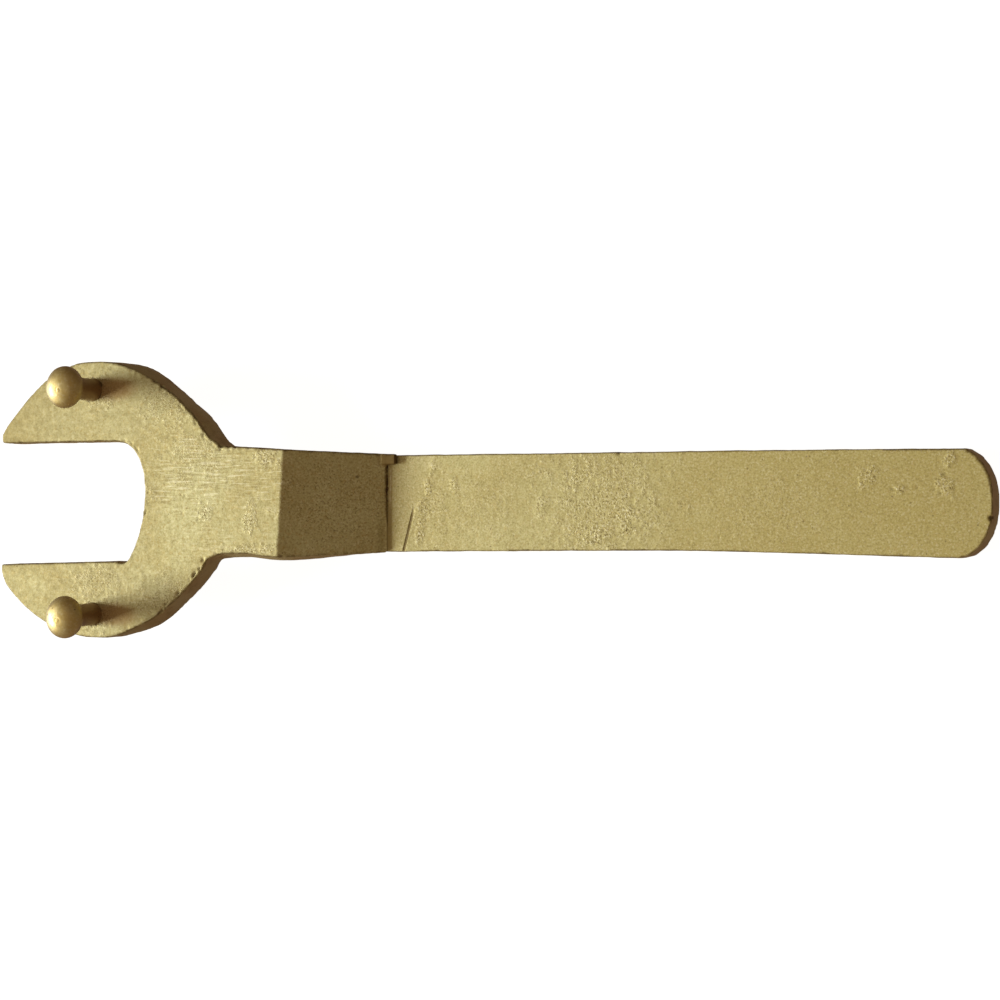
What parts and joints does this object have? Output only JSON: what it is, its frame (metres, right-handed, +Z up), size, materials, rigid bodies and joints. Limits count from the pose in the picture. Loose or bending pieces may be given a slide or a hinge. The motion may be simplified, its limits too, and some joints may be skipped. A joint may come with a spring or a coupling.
{
  "type": "fire hydrant wrench",
  "caption": "Non-sparking brass wrench: a cranked fork with an open slot and ball-headed pins on its arms, brazed to a flat handle bar.",
  "frame": {"origin": "on the underside of the handle bar, on its centreline, midway along the whole tool", "axes": "+X from the jaw mouth to the end of the handle, +Y to the right arm, +Z up, the way the ball pins point"},
  "size_m": [0.3, 0.0828, 0.0395],
  "materials": {
    "fork_brass": "brushed and lightly pitted brass, satin",
    "bar_brass": "sand-cast brass, fine pebbled grain, satin",
    "pin_brass": "turned brass, smooth satin",
    "braze_metal": "dark, dull braze filler"
  },
  "bodies": {
    "root": {"fork_head": "fork_brass", "handle_bar": "bar_brass", "braze_seam": "braze_metal", "right_ball_pin": "pin_brass", "left_ball_pin": "pin_brass"}
  },
  "joints": []
}
